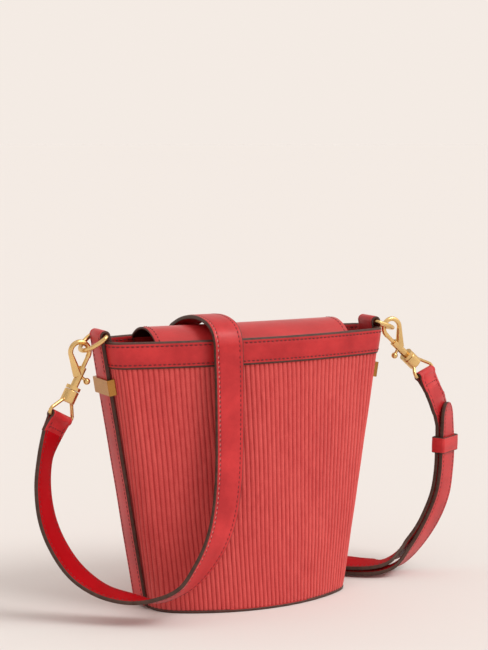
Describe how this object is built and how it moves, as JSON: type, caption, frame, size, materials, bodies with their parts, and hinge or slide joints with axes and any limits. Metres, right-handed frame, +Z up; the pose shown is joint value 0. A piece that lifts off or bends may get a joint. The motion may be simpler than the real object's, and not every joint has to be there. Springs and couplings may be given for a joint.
{
  "type": "bucket bag",
  "caption": "Tapered oval bucket bag with a ribbed cloth body, leather trim, tuck-in flap, dee rings and a flat shoulder strap on swivel snaps.",
  "frame": {"origin": "centre of the base, on the surface that the bag stands on", "axes": "+Z up, +X towards the end with the keeper, -Y towards the front"},
  "size_m": [0.3502, 0.1368, 0.2048],
  "materials": {
    "corduroy": "ribbed cotton pile",
    "leather": "semi-matte smooth grain",
    "strap_leather": "semi-matte smooth grain, dark painted edges",
    "lining_cloth": "plain weave",
    "board": "raw stiffener",
    "brass": "brushed antique",
    "spring_steel": "plain wire"
  },
  "bodies": {
    "bag": {"corduroy_front": "corduroy", "corduroy_back": "corduroy", "top_band_front": "leather", "top_band_back": "leather", "base_panel": "leather", "base_board": "board", "lining": "lining_cloth", "side_strip_left": "leather", "side_strip_right": "leather", "ferrule_left": "brass", "ferrule_right": "brass", "flap_base": "leather", "strap_front_run": "strap_leather", "strap_back_run": "strap_leather", "strap_short_run": "strap_leather", "buckle_frame": "brass"},
    "flap": {"flap_leather": "leather", "flap_lining": "lining_cloth"},
    "strap_top": {"strap_arch": "strap_leather"},
    "ring_left": {"dee_ring_left": "brass"},
    "hook_left": {"snap_hook_left": "brass", "bolt_spring_left": "spring_steel"},
    "bolt_left": {"snap_bolt_left": "brass"},
    "swivel_left": {"swivel_block_left": "brass", "strap_dee_left": "brass", "strap_fold_left": "strap_leather"},
    "ring_right": {"dee_ring_right": "brass"},
    "hook_right": {"snap_hook_right": "brass", "bolt_spring_right": "spring_steel"},
    "bolt_right": {"snap_bolt_right": "brass"},
    "swivel_right": {"swivel_block_right": "brass", "strap_dee_right": "brass", "strap_fold_right": "strap_leather"},
    "keeper": {"strap_keeper": "strap_leather"},
    "prong": {"buckle_prong": "brass"}
  },
  "joints": [
    {"name": "flap_hinge", "type": "hinge", "parent": "bag", "child": "flap", "pos_m": [0, 0.0203, 0.1905], "axis": [-1, 0, 0], "range_deg": [0, 70]},
    {"name": "strap_lift", "type": "slide", "parent": "bag", "child": "strap_top", "axis": [0, 0, 1], "range_m": [0, 0.05], "deforming": ["strap_front_run", "strap_back_run"]},
    {"name": "ring_left_swing", "type": "hinge", "parent": "bag", "child": "ring_left", "pos_m": [-0.10859, 0, 0.1936], "axis": [0, 1, 0], "range_deg": [-6, 20], "deforming": ["strap_front_run"]},
    {"name": "hook_left_swing", "type": "hinge", "parent": "ring_left", "child": "hook_left", "pos_m": [-0.12194, 0, 0.1839], "axis": [0, 1, 0], "range_deg": [-8, 12], "deforming": ["strap_front_run"]},
    {"name": "bolt_left_slide", "type": "slide", "parent": "hook_left", "child": "bolt_left", "axis": [-0.4617, 0, -0.887], "range_m": [0, 0.0045], "stiffness_N_per_m": 300, "springref_m": -0.004, "deforming": ["bolt_spring_left"]},
    {"name": "swivel_left_turn", "type": "hinge", "parent": "hook_left", "child": "swivel_left", "pos_m": [-0.13047, 0, 0.15452], "axis": [-0.4617, 0, -0.887], "range_deg": [-20, 20], "deforming": ["strap_front_run"]},
    {"name": "ring_right_swing", "type": "hinge", "parent": "bag", "child": "ring_right", "pos_m": [0.10599, 0, 0.1936], "axis": [0, -1, 0], "range_deg": [-6, 20], "deforming": ["strap_short_run"]},
    {"name": "hook_right_swing", "type": "hinge", "parent": "ring_right", "child": "hook_right", "pos_m": [0.12386, 0, 0.18745], "axis": [0, -1, 0], "range_deg": [-8, 12], "deforming": ["strap_short_run"]},
    {"name": "bolt_right_slide", "type": "slide", "parent": "hook_right", "child": "bolt_right", "axis": [0.7431, 0, -0.6691], "range_m": [0, 0.0045], "stiffness_N_per_m": 300, "springref_m": -0.004, "deforming": ["bolt_spring_right"]},
    {"name": "swivel_right_turn", "type": "hinge", "parent": "hook_right", "child": "swivel_right", "pos_m": [0.14214, 0, 0.16291], "axis": [0.7431, 0, -0.6691], "range_deg": [-20, 20], "deforming": ["strap_short_run"]},
    {"name": "keeper_slide", "type": "slide", "parent": "bag", "child": "keeper", "axis": [0.0172, -0.0086, 0.9998], "range_m": [-0.006, 0.004], "deforming": ["strap_back_run", "strap_short_run"]},
    {"name": "prong_lift", "type": "hinge", "parent": "bag", "child": "prong", "pos_m": [0.01202, 0.06378, 0.04492], "axis": [0.6119, 0.4222, 0.6688], "range_deg": [0, 60]}
  ],
  "couplings": [
    {"joint": "strap_lift", "follows": "flap_hinge", "m_per_rad": 0.04}
  ]
}
